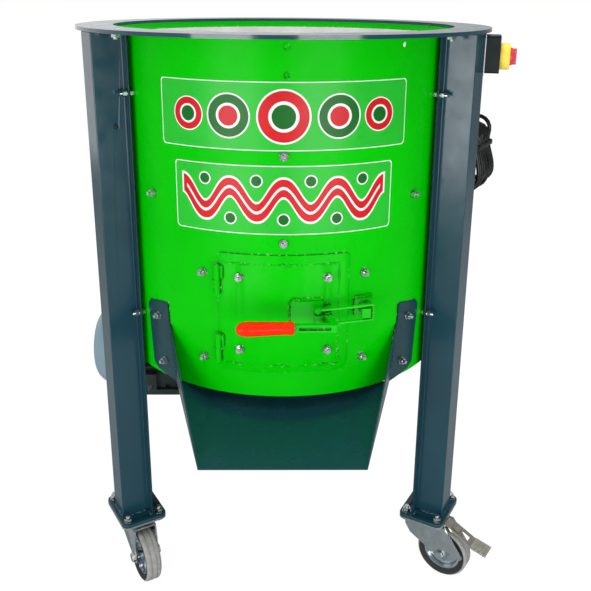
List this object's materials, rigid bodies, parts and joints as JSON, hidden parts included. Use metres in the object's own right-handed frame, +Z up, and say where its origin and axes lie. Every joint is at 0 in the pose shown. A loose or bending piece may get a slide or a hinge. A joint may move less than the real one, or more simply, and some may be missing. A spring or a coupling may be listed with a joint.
{
  "type": "walnut huller",
  "caption": "Upright drum machine on caster legs that rubs the green husk off walnuts with a turning disc, with a latched side door and an outlet chute.",
  "frame": {"origin": "on the floor under the drum's axis", "axes": "+Z up along the drum's axis, -Y towards the front with the door and the chute, +X to the right of someone facing the front"},
  "size_m": [0.7876, 0.8118, 1.026],
  "materials": {
    "frame_paint": "satin powder coat, dark blue-grey",
    "drum_paint": "gloss powder coat, bright green",
    "liner_plastic": "white plastic sheet",
    "zinc": "zinc plated",
    "steel": "machined steel",
    "bronze": "machined bronze",
    "gear_casting": "painted casting",
    "motor_casting": "painted casting, dark grey-green",
    "fan_cover_paint": "light blue-grey paint",
    "black_plastic": "moulded black",
    "seal_rubber": "black",
    "white_plate": "white paint",
    "yellow_plastic": "moulded yellow",
    "red_plastic": "moulded red",
    "grip_plastic": "dipped orange-red",
    "grey_tread": "grey rubber"
  },
  "bodies": {
    "frame": {"top_ring": "frame_paint", "leg_left": "frame_paint", "leg_right": "frame_paint", "leg_rear": "frame_paint", "foot_plates": "frame_paint", "chute": "frame_paint", "floor_pan": "frame_paint", "drum_shell": "drum_paint", "hinge_sockets": "drum_paint", "latch_strike": "drum_paint", "drum_liner": "liner_plastic", "frame_bolts": "zinc", "liner_bolts": "zinc", "caster_bolts": "zinc", "drive_screws": "zinc", "caster_plates": "zinc", "gearbox_bearings": "steel", "stator_core": "steel", "gearbox_housing": "gear_casting", "gearbox_cover": "gear_casting", "motor_frame": "motor_casting", "motor_shields": "motor_casting", "fan_cover": "fan_cover_paint", "terminal_box": "black_plastic", "switch_box": "black_plastic", "cord_gland": "black_plastic", "cord_tie": "black_plastic", "plug": "black_plastic", "shaft_seal": "seal_rubber", "power_cord": "seal_rubber", "cord_hank": "seal_rubber", "switch_bracket": "white_plate", "switch_collar": "yellow_plastic"},
    "door": {"door_panel": "drum_paint", "door_plug": "liner_plastic", "door_bolts": "zinc", "hinge_knuckles": "drum_paint", "latch_base": "drum_paint"},
    "latch_handle": {"latch_handle": "drum_paint", "latch_grip": "grip_plastic"},
    "latch_hook": {"latch_hook": "drum_paint"},
    "disc": {"hulling_disc": "steel", "disc_ribs": "steel", "disc_cap": "steel", "main_shaft": "steel", "worm_wheel": "bronze"},
    "rotor": {"worm_shaft": "steel", "rotor_core": "steel", "cooling_fan": "black_plastic"},
    "switch_knob": {"switch_knob": "red_plastic"},
    "swivel_left": {"fork_left": "zinc"},
    "swivel_right": {"fork_right": "zinc"},
    "swivel_rear": {"fork_rear": "zinc"},
    "wheel_left": {"tyre_left": "grey_tread", "rim_left": "zinc"},
    "wheel_right": {"tyre_right": "grey_tread", "rim_right": "zinc"},
    "wheel_rear": {"tyre_rear": "grey_tread", "rim_rear": "zinc"},
    "brake_pedal": {"brake_pedal": "zinc"}
  },
  "joints": [
    {"name": "disc_spin", "type": "hinge", "parent": "frame", "child": "disc", "pos_m": [0, 0, 0.487], "axis": [0, 0, 1], "continuous": true},
    {"name": "rotor_spin", "type": "hinge", "parent": "frame", "child": "rotor", "pos_m": [0, 0.075, 0.362], "axis": [1, 0, 0], "continuous": true},
    {"name": "door_swing", "type": "hinge", "parent": "frame", "child": "door", "pos_m": [-0.1055, -0.29107, 0.591], "axis": [0, 0, -1], "range_deg": [0, 105]},
    {"name": "latch_handle_swing", "type": "hinge", "parent": "door", "child": "latch_handle", "pos_m": [0.068, -0.324, 0.598], "axis": [0, 0, 1], "range_deg": [0, 105]},
    {"name": "latch_hook_swing", "type": "hinge", "parent": "latch_handle", "child": "latch_hook", "pos_m": [0.054, -0.331, 0.598], "axis": [0, 0, 1], "range_deg": [-105, 0]},
    {"name": "switch_turn", "type": "hinge", "parent": "frame", "child": "switch_knob", "pos_m": [0.33398, -0.12354, 0.982], "axis": [0.9744, -0.225, 0], "range_deg": [0, 90]},
    {"name": "swivel_left", "type": "hinge", "parent": "frame", "child": "swivel_left", "pos_m": [-0.28276, -0.16325, 0.118], "axis": [0, 0, 1], "continuous": true},
    {"name": "wheel_left", "type": "hinge", "parent": "swivel_left", "child": "wheel_left", "pos_m": [-0.26376, -0.19616, 0.05], "axis": [-0.866, -0.5, 0], "continuous": true},
    {"name": "swivel_right", "type": "hinge", "parent": "frame", "child": "swivel_right", "pos_m": [0.28276, -0.16325, 0.118], "axis": [0, 0, 1], "continuous": true},
    {"name": "wheel_right", "type": "hinge", "parent": "swivel_right", "child": "wheel_right", "pos_m": [0.31389, -0.18505, 0.05], "axis": [-0.5736, -0.8192, 0], "continuous": true},
    {"name": "brake_press", "type": "hinge", "parent": "swivel_right", "child": "brake_pedal", "pos_m": [0.31511, -0.18591, 0.1055], "axis": [0.5736, 0.8192, 0], "range_deg": [0, 12]},
    {"name": "swivel_rear", "type": "hinge", "parent": "frame", "child": "swivel_rear", "pos_m": [0, 0.3265, 0.118], "axis": [0, 0, 1], "continuous": true},
    {"name": "wheel_rear", "type": "hinge", "parent": "swivel_rear", "child": "wheel_rear", "pos_m": [-0.02443, 0.35561, 0.05], "axis": [0.766, 0.6428, 0], "continuous": true}
  ],
  "couplings": [
    {"joint": "rotor_spin", "follows": "disc_spin", "ratio": 10},
    {"joint": "latch_hook_swing", "follows": "latch_handle_swing", "ratio": -1}
  ]
}
